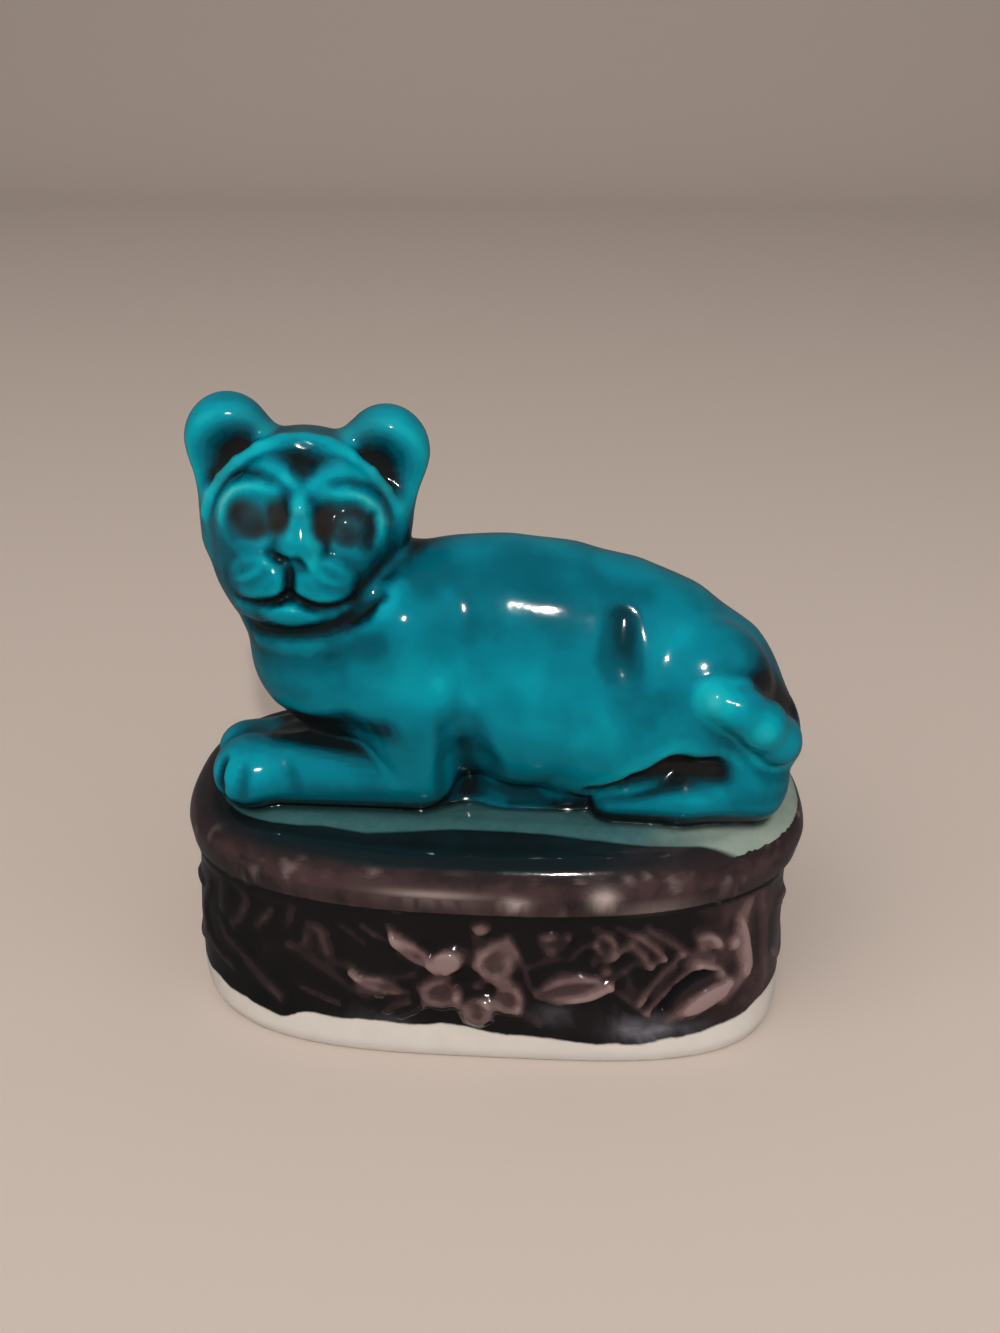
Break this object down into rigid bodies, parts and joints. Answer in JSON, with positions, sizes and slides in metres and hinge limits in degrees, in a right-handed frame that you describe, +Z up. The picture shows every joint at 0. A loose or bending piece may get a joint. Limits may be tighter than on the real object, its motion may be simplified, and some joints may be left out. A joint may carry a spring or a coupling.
{
  "type": "ceramic cat figurine",
  "caption": "Small glazed porcelain figurine of a cat lying on a low relief-moulded base, head raised and turned to the front, with a flat underside.",
  "frame": {"origin": "bottom centre of the bounding box, on the flat underside of the base", "axes": "+X runs along the base from the cat's head towards its haunch, -Y is the front that shows the cat's face, +Z is up"},
  "size_m": [0.0723, 0.0406, 0.0705],
  "materials": {
    "glaze": "gloss turquoise lead glaze over aubergine-brown glazed base, bare white foot"
  },
  "bodies": {
    "root": {"cat_figurine": "glaze"}
  },
  "joints": []
}
